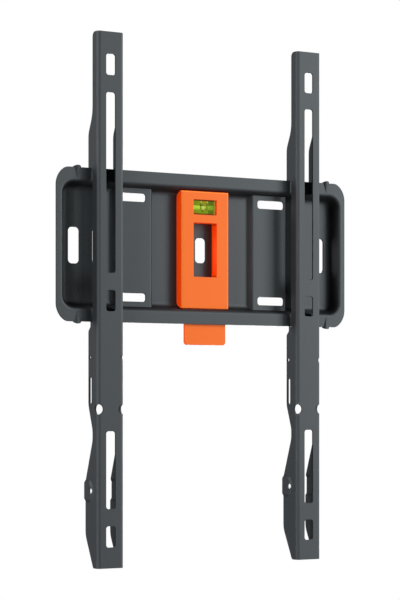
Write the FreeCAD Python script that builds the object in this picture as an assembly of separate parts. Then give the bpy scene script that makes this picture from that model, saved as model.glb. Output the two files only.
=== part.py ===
import FreeCAD, Part
import math
import os

from FreeCAD import Vector

# Fixed wall mount for a flat screen: a pressed steel wall plate, two folded steel
# arms that hang on its upper lip, and a moulded spirit level that sits in the plate.
# Millimetres. X runs to the right, Y into the wall, Z up. The origin is the middle of
# the plate, on the wall.

# Sheet steel of the plate and the arms
sheet = 1.5

# Wall plate: a drawn tray with a flat lip all round
plate_width = 292.0
plate_height = 130.5
plate_depth = 12.0
tray_width = 280.9
tray_height = 108.5
tray_draft = 26.0
lip_bend_inside = 1.0
floor_bend_inside = 4.75
tray_corner_radius = 6.0
side_arc_radius = 17.0
side_arc_sweep = 55.0
lip_corner_radius = 8.0

# Raised pads of the wall plate, one each side of the level
pad_spacing = 137.8
pad_width = 35.1
pad_rise = 4.0
pad_slope_run = 3.0
pad_edge_inside = 0.9
pad_foot_inside = 1.6

# Wall fixing slots
pad_slot_length = 27.6
pad_slot_height = 7.2
pad_slot_pitch = 141.2
pad_slot_rows = 86.2
pad_slot_corner = 2.4
bay_slot_width = 10.6
bay_slot_length = 31.0
bay_slot_corner = 3.4
outer_bay_slot_spacing = 249.0
inner_bay_slot_spacing = 202.8
centre_slot_length = 21.9

# Pressed stops at the ends of both lips
stop_spacing = 252.0
stop_width = 8.0
stop_rise = 2.0
stop_overhang = 1.8

# Arms
screen_pattern_width = 200.0
screen_pattern_height = 400.0
stand_off = 23.0
arm_width = 25.2
arm_bend_inside = 1.5
arm_above_lip = 115.0
arm_top_margin = 27.75
arm_foot_margin = 26.75
arm_top_corner = 4.0
rail_gap = 1.4
lip_play = 0.3
foot_gap = 0.3

# Front slots of the arms
screen_slot_width = 8.9
screen_slot_length = 18.0
screen_slot_corner = 2.2
slot_land = 14.6
low_slot_length = 65.8

# Hook over the upper lip and catch under the lower lip
hook_web = 4.5
hook_drop = 6.7
hook_tip_radius = 1.2
catch_play = 0.3
catch_rise = 1.2
catch_width = 0.8
lead_in_land = 4.0
lead_in_drop = 7.5
lead_in_radius = 2.0
hook_shoulder_rise = 45.5
hook_shoulder_run = 16.0
shoulder_radius = 30.0
hook_back_radius = 14.0

# Lower part of the arm, below the catch
waist_start = 70.5
waist_run = 21.0
waist_length = 9.0
waist_radius = 16.0
foot_curve_run = 35.0
foot_radius = 18.0
foot_straight_end = 27.5
toe_depth = 8.5
toe_radius = 2.4

# Holes in the bends and flanges, measured down from the catch
bend_hole_drop = 73.9
bend_hole_diameter = 8.4
small_hole_drop = 29.8
small_hole_diameter = 4.4
flange_hole_diameter = 3.6
flange_hole_edge = 2.6
flange_slot_top = 46.4
flange_slot_length = 23.2
flange_slot_width = 4.4
flange_slot_corner = 2.0
flange_slot_edge = 1.5

# Round spacer pressed out of each flange at the foot
spacer_rise = 1.3
spacer_radius = 10.0
spacer_flat_radius = 8.1
spacer_edge = 4.5
spacer_above_slot = 38.8
lock_hole_diameter = 5.0
lock_hole_edge = 11.0

# Spirit level
level_width = 48.0
level_depth = 8.7
level_play = 1.1
level_edge_radius = 1.5
level_wall = 2.2
window_width = 23.5
window_height = 47.5
window_corner = 0.8
vial_window_height = 13.2
vial_window_centre = 37.4
vial_lip = 1.8
tail_width = 41.2
tail_thickness = 2.2
tail_setback = 0.3
tail_length = 30.0
tail_corner = 3.0
tail_play = 0.3
root_setback = 2.8
root_length = 5.9
joggle_run = 4.0
joggle_radius = 1.2

# Vial of the level
vial_edge = 1.2
vial_play = 0.1
bore_radius = 2.7
bore_wall = 1.6
ring_spacing = 6.4
ring_width = 0.55
ring_depth = 0.35
bubble_length = 5.2
bubble_height = 1.5
bubble_overlap = 0.25
bubble_shift = -0.8

# Derived radii, planes and heights
lip_bend_radius = lip_bend_inside + sheet
pad_edge_radius = pad_edge_inside + sheet
arm_bend_radius = arm_bend_inside + sheet
floor_front = -sheet
lip_front = -plate_depth
lip_back = lip_front + sheet
draft_slope = math.tan(math.radians(tray_draft))
draft_turn = math.radians(90.0 - tray_draft)
sheet_shift = sheet * math.tan(draft_turn / 2)
floor_inset = (plate_depth - sheet) * draft_slope
floor_half_width = tray_width / 2 - floor_inset
floor_half_height = tray_height / 2 - floor_inset
lip_edge = plate_height / 2
pad_front = floor_front - pad_rise

arm_front = -stand_off
catch_z = -lip_edge - catch_play
arm_top = lip_edge + arm_above_lip
top_slot_z = arm_top - arm_top_margin
low_slot_z = top_slot_z - screen_pattern_height
middle_slot_z = top_slot_z - screen_pattern_height / 2
arm_bottom = low_slot_z - arm_foot_margin
strip_depth = stand_off - plate_depth - rail_gap
notch_depth = stand_off - plate_depth + sheet + lip_play
web_depth = notch_depth + hook_web
foot_depth = stand_off - foot_gap
spacer_z = low_slot_z + spacer_above_slot

level_front = floor_front - level_depth
tail_front = level_front + tail_setback
root_front = level_front + root_setback


def box(x0, x1, y0, y1, z0, z1):
    """Box between two corners."""
    return Part.makeBox(x1 - x0, y1 - y0, z1 - z0, Vector(x0, y0, z0))


def rounded_outline(corners, place):
    """Closed wire through corners (u, v, radius), each rounded by its own radius."""
    count = len(corners)
    starts = []
    ends = []
    edges = []
    for index, (u, v, radius) in enumerate(corners):
        here = Vector(u, v, 0)
        before = Vector(corners[index - 1][0], corners[index - 1][1], 0)
        after = Vector(corners[(index + 1) % count][0], corners[(index + 1) % count][1], 0)
        arriving = (here - before).normalize()
        leaving = (after - here).normalize()
        turn = arriving.getAngle(leaving)
        tangent = radius * math.tan(turn / 2)
        start = here - arriving * tangent
        end = here + leaving * tangent
        starts.append(start)
        ends.append(end)
        if tangent > 1e-6:
            inward = (leaving - arriving).normalize()
            middle = here + inward * (radius / math.cos(turn / 2) - radius)
            arc = [place(point.x, point.y) for point in (start, middle, end)]
            edges.append(Part.Arc(*arc).toShape())
    for index in range(count):
        start = ends[index]
        end = starts[(index + 1) % count]
        if (end - start).Length > 1e-6:
            edges.append(Part.makeLine(place(start.x, start.y), place(end.x, end.y)))
    return Part.Wire(Part.__sortEdges__(edges))


def prism(corners, place, direction):
    """Rounded outline pushed along a direction into a solid."""
    return Part.Face(rounded_outline(corners, place)).extrude(direction)


def on_front(x, z):
    """Point of an outline seen from the front."""
    return Vector(x, 0, z)


def on_side(y, z):
    """Point of an outline seen from the side."""
    return Vector(0, y, z)


def on_top(x, y):
    """Point of an outline seen from above."""
    return Vector(x, y, 0)


def slot_cutter(x, z, width, height, corner, y0, y1):
    """Rounded rectangular punch along Y."""
    corners = []
    for side, rise in ((-1, -1), (1, -1), (1, 1), (-1, 1)):
        corners.append((x + side * width / 2, z + rise * height / 2, corner))
    punch = prism(corners, on_front, Vector(0, y1 - y0, 0))
    punch.translate(Vector(0, y0, 0))
    return punch


def union(shapes):
    """One clean solid from touching shapes."""
    return shapes[0].fuse(shapes[1:]).removeSplitter()


def edges_inside(shape, x0, x1, y0, y1, z0, z1):
    """Edges of a shape that lie wholly inside a box."""
    slack = 1e-4
    found = []
    for edge in shape.Edges:
        limits = edge.BoundBox
        inside_x = limits.XMin > x0 - slack and limits.XMax < x1 + slack
        inside_y = limits.YMin > y0 - slack and limits.YMax < y1 + slack
        inside_z = limits.ZMin > z0 - slack and limits.ZMax < z1 + slack
        if inside_x and inside_y and inside_z:
            found.append(edge)
    return found


def tray_section(reach):
    """Sheet section from the middle of a tray corner out to the lip: floor, drafted wall, lip."""
    floor_out = tray_corner_radius
    lip_in = floor_out + floor_inset
    lip_out = lip_in + reach
    return [
        (0, floor_front, 0),
        (floor_out, floor_front, floor_bend_inside),
        (lip_in, lip_front, lip_bend_radius),
        (lip_out, lip_front, 0),
        (lip_out, lip_back, 0),
        (lip_in + sheet_shift, lip_back, lip_bend_inside),
        (floor_out + sheet_shift, 0, floor_bend_inside + sheet),
        (0, 0, 0),
    ]


def drawn_tray():
    """Tray with drafted walls and an untrimmed lip: straight sides, turned corners, flat floor."""
    corner_x = floor_half_width - tray_corner_radius
    corner_z = floor_half_height - tray_corner_radius
    section = tray_section((plate_width - tray_width) / 2 + plate_height - tray_height)
    pieces = [box(-corner_x, corner_x, floor_front, 0, -corner_z, corner_z)]
    for side in (0, 180):
        long_side = prism(section, lambda s, y: Vector(0, y, s), Vector(2 * corner_x, 0, 0))
        long_side.translate(Vector(-corner_x, 0, corner_z))
        long_side.rotate(Vector(0, 0, 0), Vector(0, 1, 0), side)
        short_side = prism(section, lambda s, y: Vector(s, y, 0), Vector(0, 0, 2 * corner_z))
        short_side.translate(Vector(corner_x, 0, -corner_z))
        short_side.rotate(Vector(0, 0, 0), Vector(0, 1, 0), side)
        pieces += [long_side, short_side]
    for side in (-1, 1):
        for rise in (-1, 1):
            face = Part.Face(rounded_outline(section, on_top))
            corner = face.revolve(Vector(0, 0, 0), Vector(0, 1, 0), 90)
            turn = {(1, -1): 0, (1, 1): -90, (-1, 1): 180, (-1, -1): 90}[(side, rise)]
            corner.rotate(Vector(0, 0, 0), Vector(0, 1, 0), turn)
            corner.translate(Vector(side * corner_x, 0, rise * corner_z))
            pieces.append(corner)
    return union(pieces)


def plate_outline():
    """Trimmed edge of the lip: ends that curve in, met by the straight long edges."""
    sweep = math.radians(side_arc_sweep)
    half_width = plate_width / 2
    arc_height = side_arc_radius * math.sin(sweep)
    arc_inset = side_arc_radius * (1 - math.cos(sweep))
    tip_inset = arc_inset + lip_corner_radius * math.cos(sweep)
    tip_height = arc_height + lip_corner_radius * (1 - math.sin(sweep))
    arc_start = lip_edge - tip_height
    half_sweep = sweep / 2
    tip_turn = (sweep + math.pi / 2) / 2
    arc_middle = (half_width - side_arc_radius * (1 - math.cos(half_sweep)),
                  arc_start + side_arc_radius * math.sin(half_sweep))
    arc_end = (half_width - arc_inset, arc_start + arc_height)
    tip_middle = (arc_end[0] - lip_corner_radius * (math.cos(sweep) - math.cos(tip_turn)),
                  arc_end[1] + lip_corner_radius * (math.sin(tip_turn) - math.sin(sweep)))
    tip_end = (half_width - tip_inset, lip_edge)
    edges = []
    for side in (-1, 1):
        for rise in (-1, 1):
            start, middle, end, tip, last = [
                Vector(side * x, 0, rise * z)
                for x, z in ((half_width, arc_start), arc_middle, arc_end, tip_middle, tip_end)
            ]
            edges.append(Part.Arc(start, middle, end).toShape())
            edges.append(Part.Arc(end, tip, last).toShape())
        edges.append(Part.makeLine(Vector(side * half_width, 0, -arc_start),
                                   Vector(side * half_width, 0, arc_start)))
    for rise in (-1, 1):
        edges.append(Part.makeLine(Vector(-tip_end[0], 0, rise * lip_edge),
                                   Vector(tip_end[0], 0, rise * lip_edge)))
    return Part.Wire(Part.__sortEdges__(edges))


def pad_section(base, front, edge_radius, foot_radius, shift):
    """Raised pad seen from above, standing on a thin strip of floor at Y = base."""
    top_half = pad_width / 2 - shift
    foot_half = top_half + pad_slope_run
    skirt_half = foot_half + 2 * (foot_radius + pad_edge_radius)
    skirt_back = base + sheet / 2
    return [
        (-skirt_half, base, 0),
        (-foot_half, base, foot_radius),
        (-top_half, front, edge_radius),
        (top_half, front, edge_radius),
        (foot_half, base, foot_radius),
        (skirt_half, base, 0),
        (skirt_half, skirt_back, 0),
        (-skirt_half, skirt_back, 0),
    ]


def pad_solids(side):
    """The metal added for one pad, trimmed to the middle of the sheet, and the hollow behind it."""
    pad_turn = math.atan2(pad_rise, pad_slope_run)
    shift = sheet * math.tan(pad_turn / 2)
    middle = Vector(side * pad_spacing / 2, 0, 0)
    height = Vector(0, 0, plate_height)
    lower = Vector(0, 0, -plate_height / 2)
    rise = prism(pad_section(floor_front, pad_front, pad_edge_radius, pad_foot_inside, 0), on_top, height)
    hollow = prism(
        pad_section(0, pad_front + sheet, pad_edge_inside, pad_foot_inside + sheet, shift),
        on_top, height)
    for shape in (rise, hollow):
        shape.translate(lower + middle)
    bend_middle = floor_bend_inside + sheet / 2
    foot_half = floor_half_height + sheet_shift / 2
    rim_half = foot_half + (plate_depth - sheet / 2) * draft_slope
    inside = prism(
        [(-sheet / 2, -foot_half, bend_middle), (-sheet / 2, foot_half, bend_middle),
         (-plate_depth, rim_half, 0), (-plate_depth, -rim_half, 0)],
        on_side, Vector(plate_width, 0, 0))
    inside.translate(Vector(-plate_width / 2, 0, 0))
    return rise.common(inside), hollow


def stop_solids(side):
    """Stop pressed out of the upper lip: a tilted cone that widens to a round end, and its hollow."""
    start_z = lip_edge - (plate_height - tray_height) / 2 + lip_bend_radius * math.tan(draft_turn / 2)
    end_z = lip_edge + stop_overhang
    length = end_z - start_z
    spread = stop_width / 2 / length
    climb = stop_rise / length
    opening = (spread ** 2 / climb + climb) / 2
    tilt = opening - climb
    axis = Vector(0, tilt, 1).normalize()
    reach = 2 * length
    radius = reach * math.tan(math.atan(opening + tilt) / 2 + math.atan(opening - tilt) / 2)
    x = side * stop_spacing / 2
    cone = Part.makeCone(0, radius, reach, Vector(x, lip_front, start_z), axis)
    hollow = cone.copy()
    hollow.translate(Vector(0, sheet, 0))
    y0 = lip_front - 2 * stop_rise
    end_radius = ((stop_width / 2) ** 2 + stop_overhang ** 2) / (2 * stop_overhang)
    end_centre = Vector(x, y0, end_z - end_radius)
    round_end = Part.makeCylinder(end_radius, lip_back - y0, end_centre, Vector(0, 1, 0))
    on_lip = box(x - stop_width, x + stop_width, y0, lip_back, start_z, lip_edge)
    room = union([on_lip, round_end])
    return cone.common(room).cut(hollow), hollow.common(room)


def wall_plate():
    trim = Part.Face(plate_outline()).extrude(Vector(0, 2 * plate_depth, 0))
    trim.translate(Vector(0, -plate_depth - sheet, 0))
    plate = drawn_tray().common(trim)
    pads = []
    pad_hollows = []
    for side in (-1, 1):
        rise, hollow = pad_solids(side)
        pads.append(rise)
        pad_hollows.append(hollow)
    plate = union([plate] + pads).cut(pad_hollows)

    stops = []
    stop_hollows = []
    for side in (-1, 1):
        upper = stop_solids(side)
        lower = [shape.mirror(Vector(0, 0, 0), Vector(0, 0, 1)) for shape in upper]
        for stop, hollow in (upper, lower):
            stops.append(stop)
            stop_hollows.append(hollow)
    plate = union([plate.cut(stop_hollows)] + stops)

    through = (lip_front, sheet)
    punches = []
    for side in (-1, 1):
        for rise in (-1, 1):
            punches.append(slot_cutter(side * pad_slot_pitch / 2, rise * pad_slot_rows / 2, pad_slot_length,
                                       pad_slot_height, pad_slot_corner, *through))
        for spacing in (outer_bay_slot_spacing, inner_bay_slot_spacing):
            punches.append(slot_cutter(side * spacing / 2, 0, bay_slot_width, bay_slot_length,
                                       bay_slot_corner, *through))
    punches.append(slot_cutter(0, 0, bay_slot_width, centre_slot_length, bay_slot_corner, *through))

    root_half = tail_width / 2 + tail_play
    punches.append(box(-root_half, root_half, root_front - tail_play, root_front + tail_thickness + tail_play,
                       -tray_height / 2 - 2 * sheet, -floor_half_height + tail_play))
    return plate.cut(punches).removeSplitter()


def arm_profile():
    """Side outline of the flanges, as (depth from the front, Z, radius)."""
    shoulder_z = lip_edge + hook_shoulder_rise
    hook_tip_z = lip_edge - hook_drop
    waist_top = catch_z - waist_start
    waist_low = waist_top - waist_run - waist_length
    foot_top = waist_low - foot_curve_run
    foot_low = arm_bottom + foot_straight_end
    return [
        (0, arm_top, 0),
        (strip_depth, arm_top, arm_top_corner),
        (strip_depth, shoulder_z, shoulder_radius),
        (web_depth, shoulder_z - hook_shoulder_run, hook_back_radius),
        (web_depth, hook_tip_z, hook_tip_radius),
        (notch_depth, hook_tip_z, hook_tip_radius),
        (notch_depth, lip_edge, 0),
        (strip_depth, lip_edge, 0),
        (strip_depth, catch_z, 0),
        (notch_depth, catch_z, 0),
        (notch_depth, catch_z + catch_rise, 0),
        (notch_depth + catch_width, catch_z + catch_rise, catch_width / 2),
        (notch_depth + catch_width, catch_z - lead_in_land, lead_in_radius),
        (web_depth, catch_z - lead_in_drop, lead_in_radius),
        (web_depth, waist_top, waist_radius),
        (strip_depth, waist_top - waist_run, waist_radius),
        (strip_depth, waist_low, waist_radius),
        (foot_depth, foot_top, foot_radius),
        (foot_depth, foot_low, foot_radius),
        (toe_depth, arm_bottom, toe_radius),
        (0, arm_bottom, 0),
    ]


def spacer_solids(side):
    """Round spacer pressed outwards from one flange, and its hollow on the inside."""
    outward = Vector(side, 0, 0)
    centre_y = arm_front + foot_depth - spacer_edge
    base = Vector(side * arm_width / 2, centre_y, spacer_z)
    dome = Part.makeCone(spacer_radius, spacer_flat_radius, spacer_rise, base, outward)
    hollow = dome.copy()
    hollow.translate(outward * -sheet)
    room = box(-arm_width, arm_width, arm_front, arm_front + foot_depth, arm_bottom, arm_top)
    return dome.common(room).cut(hollow), hollow


def arm():
    """One arm, centred on X = 0: a channel folded from one blank, open to the wall."""
    half = arm_width / 2
    across = Vector(arm_width, 0, 0)
    blank = prism(arm_profile(), lambda depth, z: Vector(-half, arm_front + depth, z), across)
    front_bends = edges_inside(blank, -half, half, arm_front, arm_front, arm_bottom, arm_top)
    front_bends = [edge for edge in front_bends if edge.Length > arm_width * 2]
    blank = blank.makeFillet(arm_bend_radius, front_bends)
    inner_half = half - sheet
    channel = prism(
        [(-inner_half, sheet, arm_bend_inside), (inner_half, sheet, arm_bend_inside),
         (inner_half, 2 * stand_off, 0), (-inner_half, 2 * stand_off, 0)],
        lambda x, depth: Vector(x, arm_front + depth, 0), Vector(0, 0, 2 * (arm_top - arm_bottom)))
    channel.translate(Vector(0, 0, arm_bottom - (arm_top - arm_bottom) / 2))
    channel_arm = blank.cut(channel)

    spacers = []
    hollows = []
    for side in (-1, 1):
        spacer, hollow = spacer_solids(side)
        spacers.append(spacer)
        hollows.append(hollow)
    channel_arm = union([channel_arm.cut(hollows)] + spacers)
    return channel_arm.cut(arm_punches()).removeSplitter()


def bend_hole(side, z, diameter):
    """Round hole of the flat blank that lies across a bend: part in the front, part in the flange."""
    bend_length = (arm_bend_inside + sheet / 2) * math.pi / 2
    inset = arm_bend_radius - bend_length / 2
    reach = diameter + sheet
    corner = Vector(side * arm_width / 2, arm_front, z)
    front_start = corner + Vector(-side * inset, -sheet, 0)
    flange_start = corner + Vector(side * sheet, inset, 0)
    front_hole = Part.makeCylinder(diameter / 2, reach, front_start, Vector(0, 1, 0))
    flange_hole = Part.makeCylinder(diameter / 2, reach, flange_start, Vector(-side, 0, 0))
    front_side = prism(
        [(-sheet, -sheet, 0), (reach, -sheet, 0), (reach, reach, 0)],
        lambda inward, depth: corner + Vector(-side * inward, depth, -diameter), Vector(0, 0, 2 * diameter))
    return union([front_hole.common(front_side), flange_hole.cut(front_side)])


def arm_punches():
    """Every hole of an arm: slots in the front, holes punched across the bends, holes in the flanges."""
    through = (arm_front - sheet, arm_front + 2 * sheet)
    half_slot = screen_slot_length / 2
    slot_ends = []
    for z in (top_slot_z, middle_slot_z, low_slot_z):
        slot_ends.append((z - half_slot, z + half_slot))
    slot_ends.append((middle_slot_z + half_slot + slot_land, top_slot_z - half_slot - slot_land))
    low_start = low_slot_z + half_slot + slot_land
    slot_ends.append((low_start, low_start + low_slot_length))
    punches = []
    for low, high in slot_ends:
        punches.append(slot_cutter(0, (low + high) / 2, screen_slot_width, high - low,
                                   screen_slot_corner, *through))

    bend_holes = [(-1, bend_hole_drop, bend_hole_diameter), (1, bend_hole_drop, bend_hole_diameter),
                  (1, small_hole_drop, small_hole_diameter)]
    for side, drop, diameter in bend_holes:
        punches.append(bend_hole(side, catch_z - drop, diameter))

    across = Vector(1, 0, 0)
    flange_hole_y = arm_front + web_depth - flange_hole_edge
    punches.append(Part.makeCylinder(flange_hole_diameter / 2, arm_width,
                                     Vector(-arm_width, flange_hole_y, catch_z - small_hole_drop), across))
    lock_y = arm_front + foot_depth - lock_hole_edge
    punches.append(Part.makeCylinder(lock_hole_diameter / 2, 2 * arm_width,
                                     Vector(-arm_width, lock_y, spacer_z), across))
    slot_back = arm_front + web_depth - flange_slot_edge
    slot_high = catch_z - flange_slot_top
    slot_low = slot_high - flange_slot_length
    corner = flange_slot_corner
    flange_slot = prism(
        [(slot_back - flange_slot_width, slot_low, corner), (slot_back, slot_low, corner),
         (slot_back, slot_high, corner), (slot_back - flange_slot_width, slot_high, corner)],
        on_side, Vector(2 * arm_width, 0, 0))
    flange_slot.translate(Vector(-arm_width, 0, 0))
    punches.append(flange_slot)
    return punches


def level_section(front, play, back):
    """Level seen from the side: it narrows to the back with the walls of the tray."""
    foot_half = floor_half_height - play
    front_half = foot_half + (floor_front - front) * draft_slope
    return [
        (back, -foot_half, floor_bend_inside),
        (front, -front_half, 0),
        (front, front_half, 0),
        (back, foot_half, floor_bend_inside),
    ]


def vial_size():
    """Width and height of the vial block, which is caught behind the edges of its window."""
    return window_width + 2 * vial_edge, vial_window_height + 2 * vial_edge


def level_body():
    half = level_width / 2
    body = prism(level_section(level_front, level_play, floor_front), on_side, Vector(level_width, 0, 0))
    body.translate(Vector(-half, 0, 0))
    front_rim = edges_inside(body, -half, half, level_front, level_front, -plate_height, plate_height)
    body = union([body.makeFillet(level_edge_radius, front_rim), level_tail()])

    through = (level_front - sheet, sheet)
    cuts = [
        slot_cutter(0, 0, window_width, window_height, window_corner, *through),
        slot_cutter(0, vial_window_centre, window_width, vial_window_height, window_corner, *through),
    ]
    vial_width, vial_height = vial_size()
    cuts.append(slot_cutter(0, vial_window_centre, vial_width + 2 * vial_play, vial_height + 2 * vial_play,
                            window_corner, level_front + vial_lip, sheet))
    cuts += level_cores()
    return body.cut(cuts)


def level_tail():
    """Grip below the plate: it drops through the tray's wall and steps forward behind the lip."""
    top = -floor_half_height
    bend_top = top - root_length
    bend_low = bend_top - joggle_run
    end = top - (floor_front - level_front) * draft_slope - tail_length
    half = tail_width / 2
    strip = prism(
        [(root_front, top, 0), (root_front, bend_top, joggle_radius), (tail_front, bend_low, joggle_radius),
         (tail_front, end, 0), (tail_front + tail_thickness, end, 0),
         (tail_front + tail_thickness, bend_low, joggle_radius),
         (root_front + tail_thickness, bend_top, joggle_radius), (root_front + tail_thickness, top, 0)],
        on_side, Vector(tail_width, 0, 0))
    strip.translate(Vector(-half, 0, 0))
    front = prism(
        [(-half, top, 0), (half, top, 0), (half, end, tail_corner), (-half, end, tail_corner)],
        on_front, Vector(0, level_front, 0))
    return strip.common(front)


def level_cores():
    """Pockets that leave even walls behind the front of the moulding."""
    pocket_front = level_front + level_wall
    side_in = vial_size()[0] / 2 + level_wall
    side_out = level_width / 2 - level_wall
    side_top = floor_half_height - level_play - 2 * level_wall
    low_top = -window_height / 2 - level_wall
    low_bottom = -floor_half_height + level_play + 2 * level_wall
    cores = []
    for side in (-1, 1):
        centre_x = side * (side_in + side_out) / 2
        for low, high in ((low_top + level_wall, -level_wall / 2), (level_wall / 2, side_top)):
            cores.append(slot_cutter(centre_x, (low + high) / 2, side_out - side_in, high - low,
                                     window_corner, pocket_front, sheet))
        low_width = side_out - level_wall / 2
        cores.append(slot_cutter(side * (side_out + level_wall / 2) / 2, (low_top + low_bottom) / 2,
                                 low_width, low_top - low_bottom, window_corner, pocket_front, sheet))
    return cores


def vial_axis():
    """Y of the bore of the vial, midway in its block."""
    return (level_front + vial_lip + floor_front) / 2


def bore_half_length():
    """Half length of the liquid in the bore."""
    return vial_size()[0] / 2 - bore_wall


def bore_solid():
    """The whole space that the liquid and its bubble fill."""
    start = Vector(-bore_half_length(), vial_axis(), vial_window_centre)
    return Part.makeCylinder(bore_radius, 2 * bore_half_length(), start, Vector(1, 0, 0))


def vial_plug():
    """Plug in the right end of the bore."""
    start = Vector(bore_half_length(), vial_axis(), vial_window_centre)
    return Part.makeCylinder(bore_radius, bore_wall, start, Vector(1, 0, 0))


def vial_rings():
    """Two marking bands set in the wall of the bore."""
    rings = []
    for side in (-1, 1):
        start = Vector(side * ring_spacing / 2 - ring_width / 2, vial_axis(), vial_window_centre)
        band = Part.makeCylinder(bore_radius + ring_depth, ring_width, start, Vector(1, 0, 0))
        rings.append(band.cut(bore_solid()))
    return Part.makeCompound(rings)


def vial_block():
    """Clear block with the bore, cut for the marking bands and the plug."""
    width, height = vial_size()
    block = slot_cutter(0, vial_window_centre, width, height, window_corner,
                        level_front + vial_lip, floor_front)
    return block.cut([bore_solid(), vial_plug()] + list(vial_rings().Solids))


def vial_fluid():
    """Liquid in the bore, with a round-ended bubble at its highest place."""
    end_radius = bubble_height / 2
    bubble_z = vial_window_centre + bore_radius + bubble_overlap - end_radius
    bubble = slot_cutter(bubble_shift, bubble_z, bubble_length, bubble_height, end_radius,
                         vial_axis() - bore_radius, vial_axis() + bore_radius)
    return bore_solid().cut(bubble)


def placed_arm(side):
    """An arm hung on the lip at its place in the screen's hole pattern."""
    hung = arm()
    hung.translate(Vector(side * screen_pattern_width / 2, 0, 0))
    return hung


nodes = {
    "wall_plate": wall_plate(),
    "left_arm": placed_arm(-1),
    "right_arm": placed_arm(1),
    "level_body": level_body(),
    "vial_block": vial_block(),
    "vial_fluid": vial_fluid(),
    "vial_plug": vial_plug(),
    "vial_rings": vial_rings(),
}

os.makedirs("parts", exist_ok=True)
for name, shape in nodes.items():
    shape.exportStep("parts/" + name + ".step")
    print(name, "solids", len(shape.Solids), "valid", shape.isValid(), "volume", round(shape.Volume, 1))
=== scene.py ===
import math

import bpy
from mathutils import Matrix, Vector


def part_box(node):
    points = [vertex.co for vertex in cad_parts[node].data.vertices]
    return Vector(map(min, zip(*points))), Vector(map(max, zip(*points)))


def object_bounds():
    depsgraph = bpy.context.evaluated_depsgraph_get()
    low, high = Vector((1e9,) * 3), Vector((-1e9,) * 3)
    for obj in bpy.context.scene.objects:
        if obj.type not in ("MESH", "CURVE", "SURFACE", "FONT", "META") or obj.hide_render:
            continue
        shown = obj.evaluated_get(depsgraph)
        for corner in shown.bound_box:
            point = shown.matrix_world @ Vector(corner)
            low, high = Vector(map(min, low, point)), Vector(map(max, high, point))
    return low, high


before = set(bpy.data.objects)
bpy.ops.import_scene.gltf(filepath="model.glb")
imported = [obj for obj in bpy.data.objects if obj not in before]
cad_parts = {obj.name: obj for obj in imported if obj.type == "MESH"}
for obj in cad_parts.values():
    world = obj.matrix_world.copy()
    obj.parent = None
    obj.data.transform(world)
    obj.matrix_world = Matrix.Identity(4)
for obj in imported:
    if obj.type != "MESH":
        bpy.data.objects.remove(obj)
cad_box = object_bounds()

# Camera: level, turned to the right, and shifted up so that the arms fill the picture
image_height = 600
camera_turn = math.radians(30.18)
camera_place = Vector((-0.8996, -1.5479, -0.1356))
focal_pixels = 2032.2
horizon_pixel = 404.7
sensor = 36.0

# Studio: tall soft boxes round the mount, in metres, watts and degrees to the right of its front
box_distance = 1.6
box_width = 0.564
box_height = 1.7
box_rise = 0.4
soft_boxes = {
    "key_light": {"angle": 50, "power": 31.0},
    "key_feather": {"angle": 30, "power": 6.0},
    "fill_light": {"angle": -120, "power": 13.0},
    "fill_feather": {"angle": -66, "power": 14.0},
    "rear_light": {"angle": 145, "power": 50.0},
}

# Backdrop and floor, colours as linear red, green and blue
backdrop_white = (1.0, 1.0, 1.0)
floor_white = (0.86, 0.86, 0.85)
floor_roughness = 0.8
floor_drop = 1.6
floor_size = 4.0

# How edges and corners are found on a solid: samples, and limits of the turn at an edge
edge_samples = 6
corner_samples = 16
edge_turn = (0.01, 0.20)

# Powder coat, colours as linear red, green and blue
coat_dark = (0.0365, 0.0418, 0.0458)
coat_pale = (0.0485, 0.0552, 0.0606)
# painted shade for steep walls in inner corners
coat_painted_shade = (0.007, 0.008, 0.009)
coat_edge = (0.078, 0.086, 0.092)
# painted highlight over the arms' bends
coat_bend_highlight = (0.088, 0.097, 0.104)
coat_gloss = (0.86, 0.95, 1.0)
coat_specular = 0.38

# Powder coat, patterns in cells per metre and their shares in colour and height
coat_clouds = {"scale": 28.0, "detail": 3.0}
coat_peel = {"scale": 420.0, "detail": 2.0}
coat_grain = {"scale": 1600.0, "detail": 3.0, "roughness": 0.6}
coat_pebbles = 1100.0
cloud_colour = 0.55
grain_colour = 0.45
pebble_height = 0.5
peel_height = 0.3
grain_height = 0.2
coat_texture = {"distance": 0.00012, "strength": 0.35}

# Powder coat, roughness, and what each pattern adds to it
coat_roughness = 0.46
cloud_roughness = 0.06
grain_roughness = 0.10
edge_polish = 0.08

# Powder coat, where it is thin on cut edges, with painted shade on steep walls in inner corners and a painted
# highlight over bends
coat_edge_radius = 0.0004
edge_wear = 0.35
edge_wear_clouds = 0.4
wall_frontness = (0.60, 0.99)
corner_reach = 0.022
corner_depth = (0.03, 0.20)
bend_frontness = (0.30, 0.93)
bend_soft = 0.06
plate_shades = {"corner_shade": 1.0, "bend_shine": 0.0}
arm_shades = {"corner_shade": 0.6, "bend_shine": 0.9}

# Orange moulding, colours as linear red, green and blue
orange_deep = (0.88, 0.137, 0.0025)
orange_clear = (0.92, 0.157, 0.005)
# painted shade of the sides, and their painted glow
orange_painted_side = (0.92, 0.066, 0.002)
orange_painted_glow = (0.30, 0.016, 0.000)
no_glow = (0.0, 0.0, 0.0)
orange_shade = (0.09, 0.010, 0.001)
# painted highlight on edges
orange_painted_highlight = (1.0, 0.32, 0.050)
orange_specular = 0.20
orange_painted_glow_strength = 1.0

# Orange moulding, patterns in cells per metre, their shares, and where its sides and edges begin
orange_clouds = 40.0
orange_grain = 2200.0
orange_cloud_colour = 0.7
orange_grain_colour = 0.3
orange_texture = {"distance": 0.00006, "strength": 0.25}
orange_roughness = 0.42
orange_grain_roughness = 0.14
orange_edge_radius = 0.0003
side_frontness = (0.2, 0.7)
glow_frontness = (0.75, 0.99)
round_frontness = (0.60, 0.97)
round_soft = 0.04
# strength of the painted highlights on rounded and sharp edges
round_highlight = 0.75
sharp_edge_highlight = 0.8
# reach and depth of the painted shade in inner corners
orange_corner_reach = 0.005
orange_corner_depth = (0.15, 0.40)

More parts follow.
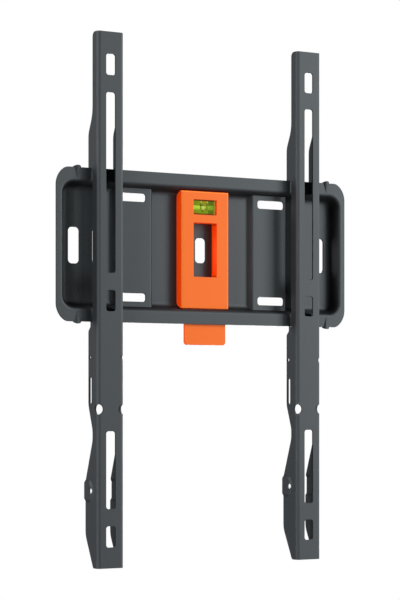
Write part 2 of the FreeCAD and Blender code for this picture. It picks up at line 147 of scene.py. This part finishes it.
# Vial, colours as linear red, green and blue
block_green = (0.20, 0.31, 0.004)
block_shade = (0.085, 0.145, 0.002)
# painted shadow and reflection of the orange along the window's edges
block_rim_shadow = (0.115, 0.022, 0.001)
block_olive = (0.30, 0.29, 0.010)
# pale of the painted glints, and of the band at the block's end
block_glint_and_end = (0.70, 0.64, 0.090)
liquid_green = (0.37, 0.58, 0.030)
liquid_pale = (0.40, 0.44, 0.060)
# painted highlight at the bubble
liquid_painted_highlight = (0.80, 0.80, 0.16)
mark_dark = (0.020, 0.026, 0.002)
# worn paint of the marks, also used for their painted images in the block and for a dark dot
mark_worn_and_image = (0.055, 0.065, 0.008)

# Clear block of the vial: places across it and heights above its middle, in metres
ring_spacing = 0.0064
shade_start = (0.0030, 0.0046)
bore_edge = (0.0020, 0.0025)
rim_edge = (0.0050, 0.0061)
rim_lift = 0.0002
end_across = (0.0098, 0.0114)
end_soft = 0.0003
olive_across = (-0.0036, 0.0030)
olive_soft = 0.0006
olive_rise = (0.0016, 0.0028)
image_rise = (0.0020, 0.0040)
image_width = 0.0011
image_soft = 0.0004
glint_rise = (0.0040, 0.0056)
glint_rise_soft = 0.0003
glint_half_width = 0.0006
glint_soft = 0.0004
dot_rise = (-0.0040, -0.0022)
dot_across = (-0.0026, -0.0010)
dot_soft = 0.0005

# Clear block of the vial: how strong each tint is, and how well the block covers what lies behind it
block_swirls = 300.0
shade_share = 0.9
swirl_share = 0.1
olive_share = 0.8
image_share = 0.75
glint_share = 0.8
dot_share = 0.85
end_share = 0.85
block_cover = 0.94
bore_clearness = 0.86
shade_cover = 0.28
block_roughness = 0.18
block_swirl_roughness = 0.08
block_specular = 0.05

# Liquid of the vial: a pale stretch and a painted highlight across it, in metres, their shares, and its
# painted glow
liquid_swirls = 260.0
pale_across = (-0.0030, 0.0030)
pale_soft = 0.0008
shine_across = (-0.0014, 0.0008)
shine_soft = 0.0006
liquid_swirl_share = 0.4
pale_share = 0.5
shine_share = 0.7
liquid_painted_glow = 0.40
liquid_roughness = 0.12
liquid_swirl_roughness = 0.05
liquid_specular = 0.10

# Marking bands of the vial
mark_grain = 900.0
mark_roughness = 0.45
mark_grain_roughness = 0.1


class Wire:
    """A shader socket that can stand in a sum: each operator adds one Math node."""

    def __init__(self, finish, socket):
        self.finish = finish
        self.socket = socket

    def join(self, operation, first, second):
        return self.finish.node("ShaderNodeMath", {"operation": operation}, {0: first, 1: second})["Value"]

    def __add__(self, other):
        return self.join("ADD", self, other)

    def __radd__(self, other):
        return self.join("ADD", other, self)

    def __sub__(self, other):
        return self.join("SUBTRACT", self, other)

    def __rsub__(self, other):
        return self.join("SUBTRACT", other, self)

    def __mul__(self, other):
        return self.join("MULTIPLY", self, other)

    def __rmul__(self, other):
        return self.join("MULTIPLY", other, self)

    def __abs__(self):
        return self.join("ABSOLUTE", self, 0.0)


class Finish:
    """A material under construction: one method adds any node, and the rest are its short forms."""

    def __init__(self, name):
        self.material = bpy.data.materials.new(name)
        self.material.use_nodes = True
        self.tree = self.material.node_tree
        self.surface = self.tree.nodes["Principled BSDF"]
        self.place = self.node("ShaderNodeTexCoord", {}, {})["Object"]

    def node(self, kind, settings, inputs):
        """Adds a node. Settings come first, then the values or links of its sockets; returns its outputs."""
        node = self.tree.nodes.new(kind)
        for name, value in settings.items():
            setattr(node, name, value)
        for name, value in inputs.items():
            self.feed(node.inputs[name], value)
        return {output.name: Wire(self, output) for output in node.outputs if output.enabled}

    def feed(self, socket, value):
        """Links a wire to a socket, or sets the socket to a plain value."""
        if isinstance(value, Wire):
            self.tree.links.new(value.socket, socket)
        elif socket.type == "RGBA":
            socket.default_value = (*value, 1.0)
        else:
            socket.default_value = value

    def set(self, **values):
        """Feeds the surface's own sockets, named with low lines for spaces."""
        for name, value in values.items():
            self.feed(self.surface.inputs[name.replace("_", " ")], value)

    def axis(self, vector, name):
        """One of the three numbers of a vector: X, Y or Z."""
        return self.node("ShaderNodeSeparateXYZ", {}, {"Vector": vector})[name]

    def noise(self, scale, detail=2.0, roughness=0.5):
        """Noise at a number of cells per metre, from 0 to 1."""
        return self.node("ShaderNodeTexNoise", {}, {
            "Vector": self.place,
            "Scale": scale,
            "Detail": detail,
            "Roughness": roughness,
        })["Fac"]

    def grains(self, scale):
        """Distance to the nearest of many scattered grains."""
        return self.node("ShaderNodeTexVoronoi", {}, {"Vector": self.place, "Scale": scale})["Distance"]

    def ease(self, value, low, high):
        """Smooth step of a value between two limits, from 0 to 1."""
        return self.node("ShaderNodeMapRange", {"interpolation_type": "SMOOTHSTEP"}, {
            "Value": value,
            "From Min": low,
            "From Max": high,
        })["Result"]

    def band(self, value, low, high, soft):
        """1 between two limits, with soft edges."""
        return self.ease(value, low - soft, low + soft) - self.ease(value, high - soft, high + soft)

    def blend(self, share, first, second):
        """Mix of two colours."""
        return self.node("ShaderNodeMix", {"data_type": "RGBA"}, {
            "Factor": share,
            "A": first,
            "B": second,
        })["Result"]

    def normal(self):
        """The surface's own normal."""
        return self.node("ShaderNodeNewGeometry", {}, {})["Normal"]

    def rounded(self, radius):
        """Surface normal with the sharp edges rounded over a radius, in metres."""
        return self.node("ShaderNodeBevel", {"samples": edge_samples}, {"Radius": radius})["Normal"]

    def edges(self, rounded):
        """How much a rounded normal turns away from the surface's own: 0 on flats, more at edges."""
        along = self.node("ShaderNodeVectorMath", {"operation": "DOT_PRODUCT"}, {
            0: rounded,
            1: self.normal(),
        })["Value"]
        return self.ease(1.0 - along, *edge_turn)

    def frontness(self):
        """How squarely the surface faces the front or the back, from 0 to 1."""
        return abs(self.axis(self.normal(), "Y"))

    def recess(self, reach):
        """How deep a place lies in a corner of its own piece, within a reach in metres: 0 in the open."""
        openness = self.node("ShaderNodeAmbientOcclusion", {"samples": corner_samples, "only_local": True}, {
            "Distance": reach,
        })["AO"]
        return 1.0 - openness

    def bump(self, height, normal, distance, strength):
        """Surface normal from a height, in metres, over another normal."""
        return self.node("ShaderNodeBump", {}, {
            "Strength": strength,
            "Distance": distance,
            "Height": height,
            "Normal": normal,
        })["Normal"]


def powder_coat(name, corner_shade, bend_shine):
    """Charcoal powder coat: pebbled and clouded, thin on cut edges, with painted shade in corners and a
    painted highlight over bends.
    """
    finish = Finish(name)
    clouds = finish.noise(**coat_clouds)
    peel = finish.noise(**coat_peel)
    grain = finish.noise(**coat_grain)
    pebbles = finish.grains(coat_pebbles)
    rounded = finish.rounded(coat_edge_radius)
    edges = finish.edges(rounded)
    front = finish.frontness()
    walls = 1.0 - finish.ease(front, *wall_frontness)
    corners = walls * finish.ease(finish.recess(corner_reach), *corner_depth)
    bends = finish.band(front, *bend_frontness, bend_soft)
    skin = finish.blend(clouds * cloud_colour + grain * grain_colour, coat_dark, coat_pale)
    # painted shade: steep walls darken in the inner corners of their own piece
    skin = finish.blend(corners * corner_shade, skin, coat_painted_shade)
    # painted highlight along the bends between front and side, on the arms only
    skin = finish.blend(bends * bend_shine, skin, coat_bend_highlight)
    texture = pebbles * pebble_height + peel * peel_height + grain * grain_height
    finish.set(
        Base_Color=finish.blend(edges * (edge_wear + clouds * edge_wear_clouds), skin, coat_edge),
        Roughness=coat_roughness + clouds * cloud_roughness + grain * grain_roughness - edges * edge_polish,
        Normal=finish.bump(texture, rounded, **coat_texture),
        Specular_IOR_Level=coat_specular,
        Specular_Tint=coat_gloss,
    )
    return finish.material


def moulded_orange(name):
    """Orange moulding: satin front, sides painted a deeper red with a painted glow, painted highlights on
    edges, painted shade in inner corners.
    """
    finish = Finish(name)
    clouds = finish.noise(orange_clouds)
    grain = finish.noise(orange_grain)
    rounded = finish.rounded(orange_edge_radius)
    edges = finish.edges(rounded)
    front = finish.frontness()
    rounds = finish.band(front, *round_frontness, round_soft)
    corners = finish.ease(finish.recess(orange_corner_reach), *orange_corner_depth)
    skin = finish.blend(clouds * orange_cloud_colour + grain * orange_grain_colour, orange_deep, orange_clear)
    # painted shade: sides turned away from the front take a deeper red
    skin = finish.blend(finish.ease(front, *side_frontness), orange_painted_side, skin)
    # painted highlight on the rounded edges
    skin = finish.blend(rounds * round_highlight, skin, orange_painted_highlight)
    skin = finish.blend(corners, skin, orange_shade)
    finish.set(
        # painted highlight on sharp edges
        Base_Color=finish.blend(edges * sharp_edge_highlight, skin, orange_painted_highlight),
        # painted glow on the sides, standing in for light scattered through the plastic
        Emission_Color=finish.blend(finish.ease(front, *glow_frontness), orange_painted_glow, no_glow),
        Emission_Strength=orange_painted_glow_strength,
        Roughness=orange_roughness + grain * orange_grain_roughness,
        Normal=finish.bump(grain, rounded, **orange_texture),
        Specular_IOR_Level=orange_specular,
    )
    return finish.material


def clear_vial(name, middle_z):
    """Tinted clear block: green above and below the bore, clear before it, painted shade to the right, brown
    painted shadow and reflection at the window's edges, painted images and glints of the marks, a dark dot.
    """
    finish = Finish(name)
    x = finish.axis(finish.place, "X")
    height = finish.axis(finish.place, "Z") - middle_z
    swirl = finish.noise(block_swirls)
    shaded = finish.ease(x, *shade_start)
    before_bore = 1.0 - finish.ease(abs(height), *bore_edge)
    rim = finish.ease(abs(height - rim_lift), *rim_edge)
    end = finish.band(x, *end_across, end_soft)
    olive = finish.band(x, *olive_across, olive_soft) * finish.ease(height, *olive_rise)
    dark_dot = finish.band(height, *dot_rise, dot_soft) * finish.band(x, *dot_across, dot_soft)

    tint = finish.blend(shaded * shade_share + swirl * swirl_share, block_green, block_shade)
    tint = finish.blend(olive * olive_share, tint, block_olive)
    for ring_x in (-ring_spacing / 2, ring_spacing / 2):
        image_across = finish.band(x, ring_x - image_width, ring_x, image_soft)
        image = finish.band(height, *image_rise, image_soft) * image_across
        glint_across = finish.band(x, ring_x - glint_half_width, ring_x + glint_half_width, glint_soft)
        glint = finish.band(height, *glint_rise, glint_rise_soft) * glint_across
        # painted images of the marking bands as the block bends light, with painted glints above them
        tint = finish.blend(image * image_share, tint, mark_worn_and_image)
        tint = finish.blend(glint * glint_share, tint, block_glint_and_end)
    tint = finish.blend(dark_dot * dot_share, tint, mark_worn_and_image)
    # painted shadow and reflected orange along the window's top and bottom edges
    tint = finish.blend(rim, tint, block_rim_shadow)
    tint = finish.blend(end * end_share, tint, block_glint_and_end)
    finish.set(
        Base_Color=tint,
        Roughness=block_roughness + swirl * block_swirl_roughness,
        Alpha=block_cover - before_bore * (1.0 - end) * (bore_clearness - shaded * shade_cover),
        Specular_IOR_Level=block_specular,
    )
    return finish.material


def vial_liquid(name):
    """Bright yellow-green liquid with a painted glow, and a painted highlight at the bubble."""
    finish = Finish(name)
    x = finish.axis(finish.place, "X")
    swirl = finish.noise(liquid_swirls)
    pale = finish.band(x, *pale_across, pale_soft)
    shine = finish.band(x, *shine_across, shine_soft)
    tint = finish.blend(swirl * liquid_swirl_share + pale * pale_share, liquid_green, liquid_pale)
    # painted highlight at the bubble
    tint = finish.blend(shine * shine_share, tint, liquid_painted_highlight)
    finish.set(
        Base_Color=tint,
        # painted glow in the liquid's own colour
        Emission_Color=tint,
        Emission_Strength=liquid_painted_glow,
        Roughness=liquid_roughness + swirl * liquid_swirl_roughness,
        Specular_IOR_Level=liquid_specular,
    )
    return finish.material


def vial_mark(name):
    """Dark paint of the two marking bands, worn in places."""
    finish = Finish(name)
    grain = finish.noise(mark_grain)
    finish.set(
        Base_Color=finish.blend(grain, mark_dark, mark_worn_and_image),
        Roughness=mark_roughness + grain * mark_grain_roughness,
    )
    return finish.material


def paint(node, material):
    """Gives a CAD node one material all over."""
    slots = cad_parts[node].data.materials
    slots.clear()
    slots.append(material)


def soft_box(name, target, angle, power):
    """Tall soft light that stands at an angle to the mount's front and is turned to the target."""
    data = bpy.data.lights.new(name, "AREA")
    data.shape = "RECTANGLE"
    data.size = box_width
    data.size_y = box_height
    data.energy = power
    light = bpy.data.objects.new(name, data)
    turn = math.radians(angle)
    stand = Vector((math.sin(turn) * box_distance, -math.cos(turn) * box_distance, box_rise))
    light.location = target + stand
    light.rotation_euler = (target - light.location).to_track_quat("-Z", "Y").to_euler()
    bpy.context.scene.collection.objects.link(light)


def backdrop():
    """White backdrop that only the camera sees, so that it lights nothing."""
    world = bpy.data.worlds.new("backdrop")
    bpy.context.scene.world = world
    world.use_nodes = True
    tree = world.node_tree
    background = tree.nodes["Background"]
    background.inputs["Color"].default_value = (*backdrop_white, 1.0)
    rays = tree.nodes.new("ShaderNodeLightPath")
    tree.links.new(rays.outputs["Is Camera Ray"], background.inputs["Strength"])


def studio_floor(height):
    """Plain pale floor well below the mount."""
    bpy.ops.object.select_all(action="DESELECT")
    bpy.ops.mesh.primitive_plane_add(size=floor_size, location=(0, 0, height))
    floor = bpy.context.object
    floor.name = "floor"
    finish = Finish("floor_paint")
    finish.set(Base_Color=floor_white, Roughness=floor_roughness)
    floor.data.materials.append(finish.material)


def photo_camera():
    """Camera of the photograph."""
    data = bpy.data.cameras.new("photo_camera")
    data.sensor_width = sensor
    data.lens = focal_pixels / image_height * sensor
    data.shift_y = (horizon_pixel - image_height / 2) / image_height
    camera = bpy.data.objects.new("photo_camera", data)
    camera.location = camera_place
    camera.rotation_euler = (math.pi / 2, 0, -camera_turn)
    bpy.context.scene.collection.objects.link(camera)
    bpy.context.scene.camera = camera


paint("wall_plate", powder_coat("plate_coat", **plate_shades))
arm_coat = powder_coat("arm_coat", **arm_shades)
paint("left_arm", arm_coat)
paint("right_arm", arm_coat)
paint("level_body", moulded_orange("orange_moulding"))
vial_low, vial_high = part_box("vial_block")
paint("vial_block", clear_vial("vial_clear", (vial_low[2] + vial_high[2]) / 2))
paint("vial_fluid", vial_liquid("vial_liquid"))
paint("vial_plug", vial_liquid("vial_stopper"))
paint("vial_rings", vial_mark("vial_marks"))

low, high = cad_box
middle = (low + high) / 2
for box_name, setting in soft_boxes.items():
    soft_box(box_name, middle, **setting)
backdrop()
studio_floor(low.z - floor_drop)
photo_camera()
bpy.context.scene.view_settings.view_transform = "Standard"
